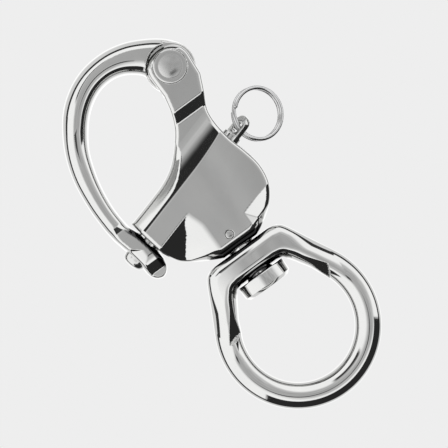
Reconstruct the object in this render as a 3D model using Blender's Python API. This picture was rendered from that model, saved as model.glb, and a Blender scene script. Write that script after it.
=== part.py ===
"""Snap shackle with a swivel bail: a forged stainless body with a spring-loaded
plunger, a hinged arm that the plunger locks, and a bail that turns on a stud.

The shackle lies on its side.  X runs along the swivel axis towards the bail,
Y runs across it towards the pull ring, and Z is the thickness, up.  Lengths are
in millimetres until a mesh is made; the scene is in metres.  Plan positions are
measured from the centre of the bail's eye, on the mid-plane of the thickness,
and FRAME_ORIGIN then moves the whole part onto its bottom centre.
"""
import math

import bmesh
import bpy
from mathutils import Matrix, Vector

MM = 0.001

# Where the bottom centre of the part lies, measured from the bail's centre.
FRAME_ORIGIN = Vector((-26.7, 1.65, -5.6))

# Fits and gaps.
GAP = 0.3
LUG_GAP = 0.8
SMALL = 1.0e-4

# Body: a web with two barrels and a forked ear.
WEB_HALF = 4.3
EAR_HALF = 5.0
EAR_RADIUS = 4.8
BARREL_RADIUS = 5.4
NECK_FACE_X = -20.75
SWIVEL_BARREL_START_X = -38.0
EDGE_CHAMFER = 1.0

# Hinge of the arm.
HINGE = Vector((-59.9, 10.2, 0.0))
RIVET_RADIUS = 2.2
RIVET_HEAD_RADIUS = 3.6
RIVET_HEAD_LENGTH = 0.8
RIVET_PROUD = 0.1
TONGUE_HALF = 2.05
TONGUE_RADIUS = 5.4
SLOT_HALF = TONGUE_HALF + GAP
SLOT_RADIUS = 6.1
SHOULDER_ANGLE = 163.0
HEEL_ANGLE = 252.0

# Arm: its thickness tapers from the knuckle to the tail beside the lug.
ARM_KNUCKLE_HALF = 4.8
ARM_TAIL_HALF = 3.0
ARM_TAPER_X = (-69.0, -50.0)
ARM_CHAMFER = 1.3
LUG_HALF = 4.6
LUG_LENGTH = 4.6
LUG_INNER_REACH = 6.0
LUG_OUTER_REACH = 7.0
LUG_END_RADIUS = 2.2

# Plunger: its axis starts at the barrel's mouth and points to the arm's lug.
MOUTH = Vector((-32.8, -15.0, 0.0))
PLUNGER_ANGLE = -74.0
PIN_RADIUS = 3.0
PIN_LENGTH_IN_BARREL = 8.5
PIN_TIP = 6.5
PIN_DOME = 1.3
ROD_RADIUS = 2.15
ROD_END = -33.4
EYE_START = -28.7
EYE_CENTRE = -30.6
EYE_HALF = 0.65
EYE_TURN = 55.0
EYE_HOLE_RADIUS = 1.45
CHAMBER_END = -21.5
BARREL_BACK = -26.5

# Spring round the rod.
SPRING_WIRE_RADIUS = 0.3
SPRING_MEAN_RADIUS = 2.72
SPRING_TURNS = 8

# Pull ring: two turns of wire.
RING_WIRE_RADIUS = 0.42
RING_MEAN_RADIUS = 5.4
RING_PITCH = 1.0
RING_HEADING = 8.0
RING_SIDE_SLOPE = 10.5
RING_DROOP = 23.0

# Stud, its lock pin and the bail.
STUD_RADIUS = 3.0
STUD_END_X = -31.2
STUD_HEAD_RADIUS = 5.6
STUD_HEAD_X = (-13.65, -10.25)
STUD_HEAD_CHAMFER = 0.7
LOCK_PIN = Vector((-24.1, -0.4, 0.0))
LOCK_PIN_RADIUS = 0.9
LOCK_PIN_HALF = 5.15
BAIL_RADIUS = 14.85
BAIL_WIRE_RADIUS = 2.85
BAIL_TANGENT_ANGLE = 118.0
BAIL_FLAT_X = (-20.45, -14.0)
BAIL_CORNER_HALF = 7.6
BAIL_BOSS_HALF = 4.9
BAIL_BOSS_REACH = 8.2
BAIL_BOSS_BEVEL = 1.6

ROUND_SIDES = 40
HOLE_SIDES = 32


# ---------------------------------------------------------------- plan curves

def arc(centre, radius, start, end, steps):
    """Points on a circle, with the angles in degrees."""
    points = []
    for i in range(steps + 1):
        angle = math.radians(start + (end - start) * i / steps)
        points.append(Vector((centre.x + radius * math.cos(angle),
                              centre.y + radius * math.sin(angle))))
    return points


def through(knots, steps=3):
    """A smooth open curve through the knots (Catmull-Rom)."""
    pts = [Vector(k) for k in knots]
    pts = [2 * pts[0] - pts[1]] + pts + [2 * pts[-1] - pts[-2]]
    curve = []
    for a, b, c, d in zip(pts, pts[1:], pts[2:], pts[3:]):
        for i in range(steps):
            t = i / steps
            curve.append(0.5 * (2 * b + (c - a) * t
                                + (2 * a - 5 * b + 4 * c - d) * t * t
                                + (3 * b - a - 3 * c + d) * t ** 3))
    curve.append(pts[-2])
    return curve


def inset(outline, distance):
    """The outline moved inwards; it runs counter-clockwise."""
    moved = []
    count = len(outline)
    for i, point in enumerate(outline):
        before = (point - outline[i - 1]).normalized()
        after = (outline[(i + 1) % count] - point).normalized()
        normal = Vector((-(before + after).y, (before + after).x)).normalized()
        lean = max(0.5, normal.dot(Vector((-before.y, before.x))))
        moved.append(point + normal * distance / lean)
    return moved


# ------------------------------------------------------------------- builders

def steel(name, colour, roughness):
    material = bpy.data.materials.new(name)
    material.use_nodes = True
    shader = material.node_tree.nodes["Principled BSDF"]
    shader.inputs["Base Color"].default_value = (*colour, 1.0)
    shader.inputs["Metallic"].default_value = 1.0
    shader.inputs["Roughness"].default_value = roughness
    return material


def add_object(name, bm, material, origin=Vector(), turn=0.0):
    """An object from a mesh made in millimetres about its own origin."""
    bmesh.ops.remove_doubles(bm, verts=bm.verts, dist=SMALL)
    bmesh.ops.recalc_face_normals(bm, faces=bm.faces)
    bmesh.ops.scale(bm, vec=(MM, MM, MM), verts=bm.verts)
    mesh = bpy.data.meshes.new(name)
    bm.to_mesh(mesh)
    bm.free()
    mesh.shade_smooth()
    mesh.set_sharp_from_angle(angle=math.radians(35))
    if material:
        mesh.materials.append(material)
    obj = bpy.data.objects.new(name, mesh)
    bpy.context.collection.objects.link(obj)
    obj.location = (origin - FRAME_ORIGIN) * MM
    obj.rotation_euler.z = math.radians(turn)
    return obj


def combine(target, operation, tool):
    """A Boolean with a hidden tool object."""
    tool.hide_render = True
    tool.display_type = "WIRE"
    modifier = target.modifiers.new(tool.name, "BOOLEAN")
    modifier.operation = operation
    modifier.solver = "EXACT"
    modifier.object = tool


def stacked(bm, rings):
    """Skin closed rings of points, one above the other, and cap both ends."""
    loops = []
    for ring in rings:
        loops.append([bm.verts.new(p) for p in ring])
    for low, high in zip(loops, loops[1:]):
        for i in range(len(low)):
            j = (i + 1) % len(low)
            bm.faces.new((low[i], low[j], high[j], high[i]))
    bm.faces.new(loops[0][::-1])
    bm.faces.new(loops[-1])


def plate(outline, half, chamfer=0.0):
    """A flat plate with chamfered rims, centred on the mid-plane."""
    bm = bmesh.new()
    if chamfer:
        inner = inset(outline, chamfer)
        levels = [(inner, -half), (outline, chamfer - half),
                  (outline, half - chamfer), (inner, half)]
    else:
        levels = [(outline, -half), (outline, half)]
    stacked(bm, [[(p.x, p.y, z) for p in ring] for ring, z in levels])
    return bm


def turned(profile, sides=ROUND_SIDES):
    """A solid turned about local X from (x, radius) pairs, flat at both ends."""
    bm = bmesh.new()
    rings = []
    for x, radius in profile:
        ring = []
        for i in range(sides):
            angle = 2 * math.pi * i / sides
            ring.append((x, radius * math.cos(angle), radius * math.sin(angle)))
        rings.append(ring)
    stacked(bm, rings)
    return bm


def post(profile, sides=ROUND_SIDES):
    """A solid turned about local Z from (z, radius) pairs."""
    bm = turned(profile, sides)
    bmesh.ops.rotate(bm, verts=bm.verts, cent=(0, 0, 0),
                     matrix=Matrix.Rotation(math.radians(-90), 3, "Y"))
    return bm


def block(low, high, bevel=0.0):
    bm = bmesh.new()
    bmesh.ops.create_cube(bm, size=1.0)
    size = Vector(high) - Vector(low)
    centre = (Vector(high) + Vector(low)) / 2
    bmesh.ops.scale(bm, vec=size, verts=bm.verts)
    bmesh.ops.translate(bm, vec=centre, verts=bm.verts)
    if bevel:
        bmesh.ops.bevel(bm, geom=bm.edges[:], offset=bevel, segments=2,
                        profile=0.5, affect="EDGES")
    return bm


def wire(path, radius, sides, closed=False, height=None):
    """A tube along a path; height is its half thickness along Z if not round."""
    bm = bmesh.new()
    count = len(path)
    rings = []
    across = None
    for i, point in enumerate(path):
        ahead = path[(i + 1) % count] if closed or i < count - 1 else point
        behind = path[i - 1] if closed or i > 0 else point
        along = (ahead - behind).normalized()
        guide = Vector((0, 0, 1)) if across is None or height else across
        side = along.cross(guide)
        if across is None or height:
            side = side.normalized()
            rise = side.cross(along).normalized()
        else:
            rise = (guide - along * guide.dot(along)).normalized()
            side = along.cross(rise)
        across = rise
        ring = []
        for k in range(sides):
            angle = 2 * math.pi * (k + 0.5) / sides
            ring.append(point + side * radius * math.cos(angle)
                        + rise * (height or radius) * math.sin(angle))
        rings.append(ring)
    if not closed:
        stacked(bm, rings)
        return bm
    loops = [[bm.verts.new(p) for p in ring] for ring in rings]
    for i, low in enumerate(loops):
        high = loops[(i + 1) % count]
        for k in range(sides):
            j = (k + 1) % sides
            bm.faces.new((low[k], low[j], high[j], high[k]))
    return bm


# ----------------------------------------------------------------------- body

def body_outline():
    """The body in plan: ear arc, hook side, barrel mouth, neck, ring side."""
    ear = arc(HINGE, EAR_RADIUS, 92, 268, 18)
    hook_side = through([(-55.5, 5.45), (-51.5, 4.5), (-48.2, 2.9), (-45.0, 0.2),
                         (-42.6, -2.6), (-41.0, -5.6), (-39.9, -9.0),
                         (-38.0, -16.5)])
    neck_low = through([(-29.3, -14.0), (-27.0, -13.1), (-25.2, -11.8),
                        (-22.9, -8.4), (-21.6, -6.0), (NECK_FACE_X, -4.2)])
    ring_side = through([(NECK_FACE_X, 4.2), (-21.6, 6.1), (-23.3, 8.8),
                         (-25.5, 11.2), (-28.6, 12.9), (-32.5, 13.35),
                         (-36.5, 12.6), (-40.5, 11.5), (-44.5, 11.0),
                         (-48.0, 11.3), (-51.5, 13.0), (-55.0, 14.6)])
    return ear + hook_side + neck_low + ring_side


def ear_outline():
    """The thicker pad of the forked ear."""
    return arc(HINGE, EAR_RADIUS, 92, 268, 18) + through(
        [(-55.0, 5.4), (-51.8, 5.2), (-50.6, 8.0), (-51.8, 12.6), (-55.0, 14.5)])


def make_body(material):
    body = add_object("body", plate(body_outline(), WEB_HALF, EDGE_CHAMFER), material)
    ear = add_object("ear_pad", plate(ear_outline(), EAR_HALF, 0.7), None)
    barrel = add_object("plunger_barrel", turned([(BARREL_BACK, 4.0),
                                                  (BARREL_BACK + 1.5, BARREL_RADIUS),
                                                  (-0.8, BARREL_RADIUS),
                                                  (0.0, BARREL_RADIUS - 0.8)]),
                        None, MOUTH, PLUNGER_ANGLE)
    swivel = add_object("swivel_barrel", turned([(SWIVEL_BARREL_START_X, BARREL_RADIUS),
                                                 (NECK_FACE_X - 1.4, BARREL_RADIUS),
                                                 (NECK_FACE_X, BARREL_RADIUS - 1.2)]),
                        None)
    for piece in (ear, barrel, swivel):
        combine(body, "UNION", piece)
    slot = add_object("knuckle_slot",
                      plate(arc(HINGE, SLOT_RADIUS, -80, 80, 16)
                            + [Vector((-72, 24)), Vector((-72, -4))], SLOT_HALF), None)
    rivet_hole = add_object("rivet_hole", post([(-7, RIVET_RADIUS + GAP),
                                                (7, RIVET_RADIUS + GAP)], HOLE_SIDES),
                            None, HINGE)
    combine(body, "DIFFERENCE", slot)
    combine(body, "DIFFERENCE", rivet_hole)
    floor = EAR_HALF + RIVET_PROUD - RIVET_HEAD_LENGTH - GAP
    for side in (-1, 1):
        span = sorted((side * floor, side * 7))
        seat = post([(z, RIVET_HEAD_RADIUS + GAP) for z in span], HOLE_SIDES)
        combine(body, "DIFFERENCE", add_object("rivet_seat", seat, None, HINGE))
    bores = [
        ("spring_chamber", turned([(CHAMBER_END, PIN_RADIUS + GAP),
                                   (2, PIN_RADIUS + GAP)], HOLE_SIDES)),
        ("rod_bore", turned([(-34, ROD_RADIUS + GAP),
                             (CHAMBER_END + 2, ROD_RADIUS + GAP)], HOLE_SIDES)),
    ]
    for name, bm in bores:
        combine(body, "DIFFERENCE", add_object(name, bm, None, MOUTH, PLUNGER_ANGLE))
    stud_bore = turned([(STUD_END_X - GAP, STUD_RADIUS + GAP),
                        (NECK_FACE_X + 2, STUD_RADIUS + GAP)], HOLE_SIDES)
    combine(body, "DIFFERENCE", add_object("stud_bore", stud_bore, None))
    combine(body, "DIFFERENCE", lock_pin_hole("body_pin_hole"))
    return body


def lock_pin_hole(name):
    radius = LOCK_PIN_RADIUS + GAP
    return add_object(name, post([(-8, radius), (8, radius)], 20), None, LOCK_PIN)


# ------------------------------------------------------------------------ arm

def arm_outline():
    """The curved arm in plan: round knuckle, outer edge, then inner edge."""
    knuckle = arc(HINGE, TONGUE_RADIUS, -104, 100, 22)
    outer = through([(-62.2, 15.2), (-64.2, 14.1), (-66.2, 12.1), (-68.1, 9.3),
                     (-69.9, 5.6), (-70.9, 1.6), (-71.0, -2.4), (-70.3, -6.2),
                     (-68.6, -10.0), (-65.8, -13.6), (-61.9, -16.6), (-57.3, -19.0),
                     (-52.0, -20.6), (-46.0, -21.3), (-40.5, -21.2), (-34.5, -20.5)], 2)
    inner = through([(-34.5, -17.0), (-38.5, -16.9), (-42.5, -17.0), (-47.0, -16.6),
                     (-51.5, -15.6), (-56.0, -13.9), (-60.0, -11.2), (-62.8, -8.3),
                     (-64.6, -5.0), (-65.1, -1.8), (-64.6, 0.9), (-63.3, 3.1),
                     (-61.6, 4.75)], 2)
    return knuckle + outer + inner


def ear_relief_outline():
    """What each ear takes out of the arm: its round end, past the shoulder."""
    ear = arc(HINGE, EAR_RADIUS + GAP, SHOULDER_ANGLE, HEEL_ANGLE, 12)
    shoulder = arc(HINGE, 3 * EAR_RADIUS, SHOULDER_ANGLE, SHOULDER_ANGLE, 1)
    return ear + [Vector((-50, 4)), Vector((-50, 24))] + shoulder[:1]


def lug_outline():
    """The lug's plan in the plunger's frame: X along the plunger, Y across."""
    radius = LUG_END_RADIUS
    far = LUG_GAP + LUG_LENGTH
    side = LUG_OUTER_REACH - radius
    corners = [Vector((LUG_GAP, -LUG_INNER_REACH)),
               Vector((far - 0.9, -LUG_INNER_REACH - 1.0)),
               Vector((far, -LUG_INNER_REACH + 2.0))]
    outer_corner = arc(Vector((far - radius, side)), radius, 0, 90, 6)
    inner_corner = arc(Vector((LUG_GAP + radius, side)), radius, 90, 180, 6)
    return corners + outer_corner + inner_corner


def tapered_arm():
    """The arm's plate, thinned along the hook side from the knuckle to the tail."""
    bm = plate(arm_outline(), ARM_KNUCKLE_HALF, ARM_CHAMFER)
    start, end = ARM_TAPER_X
    for vert in bm.verts:
        if vert.co.y < 0:
            share = min(1.0, max(0.0, (vert.co.x - start) / (end - start)))
            thin = 1 + (ARM_TAIL_HALF / ARM_KNUCKLE_HALF - 1) * math.sin(share * math.pi / 2)
            vert.co.z *= thin
    bmesh.ops.triangulate(bm, faces=[f for f in bm.faces if len(f.verts) > 4])
    bmesh.ops.translate(bm, vec=-HINGE, verts=bm.verts)
    return bm


def make_arm(material):
    arm = add_object("arm", tapered_arm(), material, HINGE)
    for side in (-1, 1):
        middle = side * (TONGUE_HALF + EAR_HALF)
        relief = plate(ear_relief_outline(), EAR_HALF)
        bmesh.ops.translate(relief, vec=(0, 0, middle), verts=relief.verts)
        combine(arm, "DIFFERENCE", add_object("ear_relief", relief, None))
    hole = add_object("tongue_hole", post([(-7, RIVET_RADIUS + GAP),
                                           (7, RIVET_RADIUS + GAP)], HOLE_SIDES),
                      None, HINGE)
    combine(arm, "DIFFERENCE", hole)
    lug = add_object("arm_lug", plate(lug_outline(), LUG_HALF, 0.9), None, MOUTH,
                     PLUNGER_ANGLE)
    combine(arm, "UNION", lug)
    socket = turned([(0.2, PIN_RADIUS + GAP), (9, PIN_RADIUS + GAP)], HOLE_SIDES)
    combine(arm, "DIFFERENCE", add_object("lug_hole", socket, None, MOUTH, PLUNGER_ANGLE))
    return arm


def make_rivet(material):
    top = EAR_HALF + RIVET_PROUD
    under = top - RIVET_HEAD_LENGTH
    rim = RIVET_HEAD_RADIUS - 0.25
    profile = [(-top, rim), (0.25 - top, RIVET_HEAD_RADIUS), (-under, RIVET_HEAD_RADIUS),
               (-under + SMALL, RIVET_RADIUS), (under - SMALL, RIVET_RADIUS),
               (under, RIVET_HEAD_RADIUS), (top - 0.25, RIVET_HEAD_RADIUS), (top, rim)]
    return add_object("hinge_rivet", post(profile, HOLE_SIDES), material, HINGE)


# -------------------------------------------------------------------- plunger

def make_plunger(material):
    """Pin, rod and flattened eye in one, its origin on the barrel's mouth."""
    profile = [(ROD_END, 0.9), (ROD_END + 0.35, 1.6), (ROD_END + 1.0, 2.0),
               (ROD_END + 1.8, ROD_RADIUS), (-PIN_LENGTH_IN_BARREL - SMALL, ROD_RADIUS),
               (-PIN_LENGTH_IN_BARREL, PIN_RADIUS), (PIN_TIP - PIN_DOME, PIN_RADIUS),
               (PIN_TIP - 0.8, 2.75), (PIN_TIP - 0.3, 2.0), (PIN_TIP, 0.8)]
    plunger = add_object("plunger", turned(profile, 36), material, MOUTH, PLUNGER_ANGLE)
    for side in (-1, 1):
        span = sorted((side * EYE_HALF, side * 4))
        flat = block((ROD_END - 2, -4, span[0]), (EYE_START, 4, span[1]))
        combine(plunger, "DIFFERENCE", eye_tool("eye_flat", flat))
    drill = post([(-4, EYE_HOLE_RADIUS), (4, EYE_HOLE_RADIUS)], 24)
    bmesh.ops.translate(drill, vec=(EYE_CENTRE, 0, 0), verts=drill.verts)
    combine(plunger, "DIFFERENCE", eye_tool("eye_hole", drill))
    return plunger


def eye_tool(name, bm):
    """A tool in the eye's own frame, turned about the plunger's axis."""
    bmesh.ops.rotate(bm, verts=bm.verts, cent=(0, 0, 0),
                     matrix=Matrix.Rotation(math.radians(EYE_TURN), 3, "X"))
    return add_object(name, bm, None, MOUTH, PLUNGER_ANGLE)


def make_spring(material):
    """An open coil spring between the pin and the end of its chamber."""
    clearance = SPRING_WIRE_RADIUS + GAP
    start = -PIN_LENGTH_IN_BARREL - clearance
    length = start - (CHAMBER_END + clearance)
    steps = 14 * SPRING_TURNS
    path = []
    for i in range(steps + 1):
        angle = 2 * math.pi * SPRING_TURNS * i / steps
        path.append(Vector((start - length * i / steps,
                            SPRING_MEAN_RADIUS * math.cos(angle),
                            SPRING_MEAN_RADIUS * math.sin(angle))))
    return add_object("plunger_spring", wire(path, SPRING_WIRE_RADIUS, 6), material,
                      MOUTH, PLUNGER_ANGLE)


# ----------------------------------------------------------------------- ring

def plunger_point(distance):
    angle = math.radians(PLUNGER_ANGLE)
    return MOUTH + distance * Vector((math.cos(angle), math.sin(angle), 0))


def ring_axes():
    """Wire direction in the eye, the way to the ring's centre, and its normal."""
    heading = math.radians(RING_HEADING)
    slope = math.radians(RING_SIDE_SLOPE)
    along = Vector((math.cos(slope) * math.cos(heading),
                    math.cos(slope) * math.sin(heading), -math.sin(slope)))
    level = Vector((0, 0, 1)).cross(along).normalized()
    outward = Matrix.Rotation(-math.radians(RING_DROOP), 3, along) @ level
    return along, outward, along.cross(outward)


def make_ring(material):
    """A split ring: two turns that cross over near the eye's far side."""
    along, outward, normal = ring_axes()
    centre = outward * RING_MEAN_RADIUS
    turns = 2
    per_turn = 40
    start = -35.0
    cross_over = 50.0
    path = []
    for i in range(turns * per_turn - 1):
        degrees = start + 360.0 * i / per_turn
        lift = (degrees - (start + 360.0 - cross_over)) / (2 * cross_over)
        lift = min(1.0, max(0.0, lift))
        lift = lift * lift * (3 - 2 * lift) - 0.5
        angle = math.radians(degrees - 90.0)
        path.append(centre + RING_MEAN_RADIUS * (along * math.cos(angle)
                                                 + outward * math.sin(angle))
                    + normal * RING_PITCH * lift)
    return add_object("pull_ring", wire(path, RING_WIRE_RADIUS, 6), material,
                      plunger_point(EYE_CENTRE))


# -------------------------------------------------------------- stud and bail

def make_stud(material):
    under, end = STUD_HEAD_X
    profile = [(STUD_END_X, STUD_RADIUS - 0.4), (STUD_END_X + 0.4, STUD_RADIUS),
               (under - SMALL, STUD_RADIUS), (under, STUD_HEAD_RADIUS),
               (end - STUD_HEAD_CHAMFER, STUD_HEAD_RADIUS),
               (end, STUD_HEAD_RADIUS - STUD_HEAD_CHAMFER)]
    stud = add_object("swivel_stud", turned(profile), material)
    combine(stud, "DIFFERENCE", lock_pin_hole("stud_pin_hole"))
    return stud


def make_lock_pin(material):
    half = LOCK_PIN_HALF
    radius = LOCK_PIN_RADIUS
    profile = [(-half, radius - 0.2), (0.2 - half, radius), (half - 0.2, radius),
               (half, radius - 0.2)]
    return add_object("stud_lock_pin", post(profile, 20), material, LOCK_PIN)


def bail_path():
    """Centre line of the bail: a round eye that runs straight to a flat top."""
    ring = arc(Vector((0, 0, 0)), BAIL_RADIUS, -BAIL_TANGENT_ANGLE, BAIL_TANGENT_ANGLE, 36)
    mid = sum(BAIL_FLAT_X) / 2
    corner = through([(mid + 4.2, 9.15), (mid + 0.7, BAIL_CORNER_HALF - 0.3),
                      (mid, BAIL_CORNER_HALF - 2.2)], 3)
    mirrored = [Vector((p.x, -p.y)) for p in reversed(corner)]
    return [p.to_3d() for p in ring + corner + mirrored]


def make_bail(material):
    bail = add_object("bail", wire(bail_path(), BAIL_WIRE_RADIUS, 14, closed=True,
                                   height=BAIL_WIRE_RADIUS), material)
    boss = block((BAIL_FLAT_X[0], -BAIL_BOSS_REACH, -BAIL_BOSS_HALF),
                 (BAIL_FLAT_X[1], BAIL_BOSS_REACH, BAIL_BOSS_HALF), BAIL_BOSS_BEVEL)
    combine(bail, "UNION", add_object("bail_boss", boss, None))
    bore = turned([(BAIL_FLAT_X[0] - 3, STUD_RADIUS + GAP),
                   (BAIL_FLAT_X[1] + 3, STUD_RADIUS + GAP)], HOLE_SIDES)
    combine(bail, "DIFFERENCE", add_object("bail_bore", bore, None))
    return bail


def main():
    for obj in list(bpy.data.objects):
        bpy.data.objects.remove(obj, do_unlink=True)
    polished = steel("polished stainless", (0.66, 0.66, 0.65), 0.12)
    pin_steel = steel("ground stainless", (0.6, 0.6, 0.6), 0.2)
    spring_steel = steel("spring steel", (0.5, 0.5, 0.5), 0.3)
    make_body(polished)
    make_arm(polished)
    make_bail(polished)
    make_rivet(pin_steel)
    make_plunger(pin_steel)
    make_stud(polished)
    make_lock_pin(pin_steel)
    make_spring(spring_steel)
    make_ring(spring_steel)


main()
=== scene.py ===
"""The looks of the snap shackle: forged, polished stainless pieces built round the
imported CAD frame, in a plain studio.

Lengths are in millimetres until a mesh is made.  Plan positions are measured from the
centre of the bail's eye, on the mid-plane of the thickness, and ORIGIN moves them into
the frame, which stands on its bottom centre.  The forged pieces and the plunger are
distance fields with rounded edges, skinned on a fine grid; the spring, the split ring,
the stud and the pins are swept or turned.

In the names below, LEFT is a distance toward -x, and BELOW a distance toward -y.
"""

import itertools
import math

import bpy
import numpy as np
from mathutils import Matrix, Vector


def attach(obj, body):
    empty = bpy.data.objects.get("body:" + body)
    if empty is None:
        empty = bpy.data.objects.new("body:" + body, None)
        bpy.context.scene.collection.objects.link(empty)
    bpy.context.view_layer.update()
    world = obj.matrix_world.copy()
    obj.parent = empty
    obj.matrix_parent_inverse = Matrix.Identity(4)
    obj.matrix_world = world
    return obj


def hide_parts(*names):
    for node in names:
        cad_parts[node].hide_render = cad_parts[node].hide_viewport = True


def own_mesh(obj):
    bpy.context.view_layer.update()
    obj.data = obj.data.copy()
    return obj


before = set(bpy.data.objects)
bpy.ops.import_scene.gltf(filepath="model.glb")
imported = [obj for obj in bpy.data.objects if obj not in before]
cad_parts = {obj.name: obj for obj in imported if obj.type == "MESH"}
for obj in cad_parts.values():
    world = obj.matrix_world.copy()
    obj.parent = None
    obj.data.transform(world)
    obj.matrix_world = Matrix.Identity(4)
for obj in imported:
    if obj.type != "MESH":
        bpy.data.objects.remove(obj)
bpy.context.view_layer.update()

MM = 0.001
ORIGIN = np.array((-26.7, 1.65, -5.6))

# Skinning.
CELL = 0.22
FINE_CELL = 0.13
GRADIENT_REACH = 0.04

# Domed wire ends: stations as shares of the radius, the last ring's size, the dome's length.
DOME_STEPS = (0.55, 0.85, 1.0)
DOME_TIP = 0.02
DOME_LENGTH = 0.6

# Gaps round the pins, between the built surfaces.
PIN_GAP = 0.12
ROD_GAP = 0.12
RIVET_GAP = 0.1
RIVET_SEAT_GAP = 0.02
LOCK_PIN_GAP = 0.06
STUD_GAP_IN_BODY = 0.1
STUD_GAP_IN_BAIL = 0.15
STUD_END_GAP = 0.3

# Body.
HINGE = (-59.9, 10.2)
EAR_RADIUS = 4.8
EAR_HALF = 5.0
EAR_RIM = 0.9
EAR_END_X = -51.6
EAR_STEP_SLOPE = 0.52
NECK_HALF = 3.7
NECK_DIP = 3.0
NECK_DIP_ACROSS = (-3.0, 1.0)
NECK_RIM_EXTRA = 1.7
NECK_RIM_X = (-24.6, -22.4)
NECK_FACE_X = -20.75
BODY_TOP = 5.2
BODY_CROWN = 0.003
BODY_CROWN_START_Y = 1.0
BARREL_FLAT = (-1.7, 2.8)
BARREL_LEFT_SLOPE = 0.39
BARREL_RIGHT_SLOPE = 0.6
LAND_Y = (-5.1, 4.6)
LAND_SKEW = 1.3
LAND_SKEW_LEFT = (28.5, 33.5)
LAND_FADE = 6.0
LAND_FADE_ACROSS = (-1.0, 3.0)
LAND_SLOPE = 0.58
LOBE_CORNER_HEADING = math.radians(22.0)
LOBE_CORNER_START = -22.4
LOBE_CORNER_SLOPE = 0.37
BEVEL_FOOT = 2.2
BEVEL_FOOT_RISE = 2.8
BEVEL_RISE_LEFT = (43.0, 50.0)
BEVEL_FLOOR = 0.5
# Painted shade: the body's colour goes near black past here, on the neck face.
BODY_PAINTED_SHADE_X = (-22.3, -21.9)

# Arm.
TONGUE_HALF = 2.05
TONGUE_RADIUS = 5.4
SLOT_HALF = 2.3
SLOT_RADIUS = 5.9
SLOT_OPEN_Y = 4.0
SHOULDER_ANGLE = 163.0
HEEL_ANGLE = 252.0
SEAM = 0.22
ARM_KNUCKLE_HALF = 4.8
ARM_TAIL_HALF = 3.4
ARM_TAPER_X = (-69.0, -50.0)
ARM_ROUNDING = (2.3, 3.6)
ARM_OUTER_SQUARENESS = (1.5, 2.0)
ARM_INNER_SQUARENESS = 2.7
ARM_SECTION_SCALE = 2.6
LUG_HALF = 4.2
LUG_X = (-40.5, -36.0)
LUG_BELOW = (12.0, 13.5)
LUG_END_X = (-28.0, -26.4)
LUG_OUTER_SHARPNESS = 0.45
LUG_INNER_SHARPNESS = 0.75
LUG_END_SHARPNESS = 0.5
LUG_RISE_X = -37.0
LUG_RISE_SLOPE = 0.33
LUG_STEP = (-34.2, -19.0)
LUG_STEP_HEADING = math.radians(-38.7)
LUG_STEP_SLOPE = 0.8
LUG_STEP_DROP = 0.3
LUG_FLANK_SLOPE = 0.16
LUG_FLANK_Y = -17.0
LUG_SIDE_DROP = 4
LUG_DOME_X = -30.85
LUG_DOME_RADIUS = 4.7
LUG_DOME_DROP = 0.3
LUG_LEDGE_HALF = 1.7
LUG_LEDGE_X = -26.7
LUG_LEDGE_SLOPE = 0.12
LUG_EDGE_WIDTH = 1.15
LUG_EDGE_HALF = 2.8
LUG_EDGE_SLOPE = 1.19
LUG_EDGE_LIFT = 4
LUG_EDGE_LEFT = (37.0, 41.0)
# Painted shade along the lug's inner edge, in the gap by the barrel's mouth.
LUG_PAINTED_SHADE_X = (-38.4, -36.6)
LUG_PAINTED_SHADE_LEFT = (26.2, 27.0)
LUG_PAINTED_SHADE_BELOW = (13.0, 14.0)
LUG_PAINTED_SHADE_SOFT = 0.1

# Plunger.
MOUTH = (-32.8, -15.0)
PLUNGER_ANGLE = math.radians(-74.0)
PIN_RADIUS = 3.0
PIN_LENGTH_IN_BARREL = 8.5
PIN_TIP = 6.5
PIN_DOME_RADIUS = 5.2
PIN_TAPER = 0.5
PIN_TAPER_SPAN = (1.5, 5.5)
ROD_RADIUS = 2.15
ROD_END = -33.4
ROD_TIP_SETBACK = 2.1
ROD_TIP_RADIUS = 2.15
EYE_START = -28.7
EYE_CENTRE = -30.6
EYE_HALF = 0.65
EYE_TURN = math.radians(55.0)
EYE_HOLE_RADIUS = 1.45
CHAMBER_END = -21.5

# Rivet, stud, lock pin and bail.
RIVET_RADIUS = 2.2
RIVET_HEAD_RADIUS = 3.6
RIVET_TOP = 5.1
RIVET_SEAT_DEPTH = 0.8
RIVET_HEAD_DEPTH = 0.76
STUD_RADIUS = 3.0
STUD_END_X = -31.2
STUD_HEAD_RADIUS = 5.6
STUD_HEAD_X = (-13.65, -10.25)
STUD_HEAD_CHAMFER = 0.7
LOCK_PIN = (-24.1, -0.4)
LOCK_PIN_RADIUS = 0.9
LOCK_PIN_HALF = 5.15
BAIL_RADIUS = 14.85
BAIL_WIRE_RADIUS = 2.85
BAIL_TANGENT_ANGLE = 118.0
BAIL_BOSS_HALF = 4.9
BAIL_BOSS_ROUNDING = 2.3
BAIL_BOSS_LEFT = (12.0, 17.0)
BAIL_BULGE_LEFT = (0.0, 6.0)
BAIL_LIMB_LEFT = (-3.0, 12.0)
BAIL_LIMB_SOFTNESS = 0.35
BAIL_FACET_END_X = -5.2
BAIL_FACET_UPPER_SLANT = 2.0
BAIL_FACET_UPPER_Y = 11.8
BAIL_FACET_LOWER_SLANT = 0.5
BAIL_FACET_LOWER_Y = (11.0, 12.6)
BAIL_FACET_HEADING = math.radians(-52.0)
BAIL_FACET_SLOPE = 0.93
BAIL_FACET_FOOT = 1.12
BAIL_FACET_START = -14.21
BAIL_FACET_REACH = 4.0
BAIL_FACET_FADE = (0.0, 0.7, 2.0)
BAIL_FACET_MIDDLE = (-7.5, -5.0)
# Painted shade round the stud's head inside the bail, and on the boss's end face.
BAIL_HEAD_PAINTED_SHADE_X = (-15.3, -15.0)
BAIL_HEAD_PAINTED_SHADE_LEFT = (12.6, 13.2)
BAIL_HEAD_PAINTED_SHADE_ASIDE = (-7.2, -5.8)
BAIL_FACE_PAINTED_SHADE_LEFT = (20.0, 20.2)

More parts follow.
